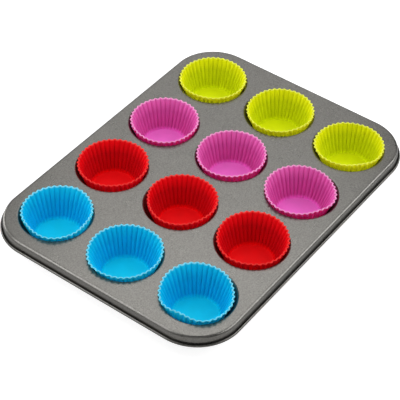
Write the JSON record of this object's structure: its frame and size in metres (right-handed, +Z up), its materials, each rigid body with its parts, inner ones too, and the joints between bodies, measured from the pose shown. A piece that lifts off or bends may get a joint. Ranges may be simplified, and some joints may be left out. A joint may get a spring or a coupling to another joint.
{
  "type": "muffin pan with silicone liners",
  "caption": "Pressed non-stick steel muffin pan with a curled, wired edge and a loose fluted silicone liner standing in every cup.",
  "frame": {"origin": "under the middle of the pan, on the plane that the undersides of its cups stand on", "axes": "+X along the pan, +Y across it, +Z up out of the cups"},
  "size_m": [0.355, 0.265, 0.0332],
  "materials": {
    "pan_coating": "satin grey non-stick coating with a fine grain, on steel sheet",
    "rim_wire": "drawn steel wire",
    "silicone_lime": "smooth matte lime silicone",
    "silicone_pink": "smooth matte pink silicone",
    "silicone_red": "smooth matte red silicone",
    "silicone_blue": "smooth matte blue silicone"
  },
  "bodies": {
    "pan": {"pan_body": "pan_coating", "rim_wire": "rim_wire"},
    "liner_lime_1": {"liner_lime_1": "silicone_lime"},
    "liner_lime_2": {"liner_lime_2": "silicone_lime"},
    "liner_lime_3": {"liner_lime_3": "silicone_lime"},
    "liner_pink_1": {"liner_pink_1": "silicone_pink"},
    "liner_pink_2": {"liner_pink_2": "silicone_pink"},
    "liner_pink_3": {"liner_pink_3": "silicone_pink"},
    "liner_red_1": {"liner_red_1": "silicone_red"},
    "liner_red_2": {"liner_red_2": "silicone_red"},
    "liner_red_3": {"liner_red_3": "silicone_red"},
    "liner_blue_1": {"liner_blue_1": "silicone_blue"},
    "liner_blue_2": {"liner_blue_2": "silicone_blue"},
    "liner_blue_3": {"liner_blue_3": "silicone_blue"}
  },
  "joints": [
    {"name": "lift_lime_1", "type": "slide", "parent": "pan", "child": "liner_lime_1", "axis": [0, 0, 1], "range_m": [0, 0.05]},
    {"name": "lift_lime_2", "type": "slide", "parent": "pan", "child": "liner_lime_2", "axis": [0, 0, 1], "range_m": [0, 0.05]},
    {"name": "lift_lime_3", "type": "slide", "parent": "pan", "child": "liner_lime_3", "axis": [0, 0, 1], "range_m": [0, 0.05]},
    {"name": "lift_pink_1", "type": "slide", "parent": "pan", "child": "liner_pink_1", "axis": [0, 0, 1], "range_m": [0, 0.05]},
    {"name": "lift_pink_2", "type": "slide", "parent": "pan", "child": "liner_pink_2", "axis": [0, 0, 1], "range_m": [0, 0.05]},
    {"name": "lift_pink_3", "type": "slide", "parent": "pan", "child": "liner_pink_3", "axis": [0, 0, 1], "range_m": [0, 0.05]},
    {"name": "lift_red_1", "type": "slide", "parent": "pan", "child": "liner_red_1", "axis": [0, 0, 1], "range_m": [0, 0.05]},
    {"name": "lift_red_2", "type": "slide", "parent": "pan", "child": "liner_red_2", "axis": [0, 0, 1], "range_m": [0, 0.05]},
    {"name": "lift_red_3", "type": "slide", "parent": "pan", "child": "liner_red_3", "axis": [0, 0, 1], "range_m": [0, 0.05]},
    {"name": "lift_blue_1", "type": "slide", "parent": "pan", "child": "liner_blue_1", "axis": [0, 0, 1], "range_m": [0, 0.05]},
    {"name": "lift_blue_2", "type": "slide", "parent": "pan", "child": "liner_blue_2", "axis": [0, 0, 1], "range_m": [0, 0.05]},
    {"name": "lift_blue_3", "type": "slide", "parent": "pan", "child": "liner_blue_3", "axis": [0, 0, 1], "range_m": [0, 0.05]}
  ]
}
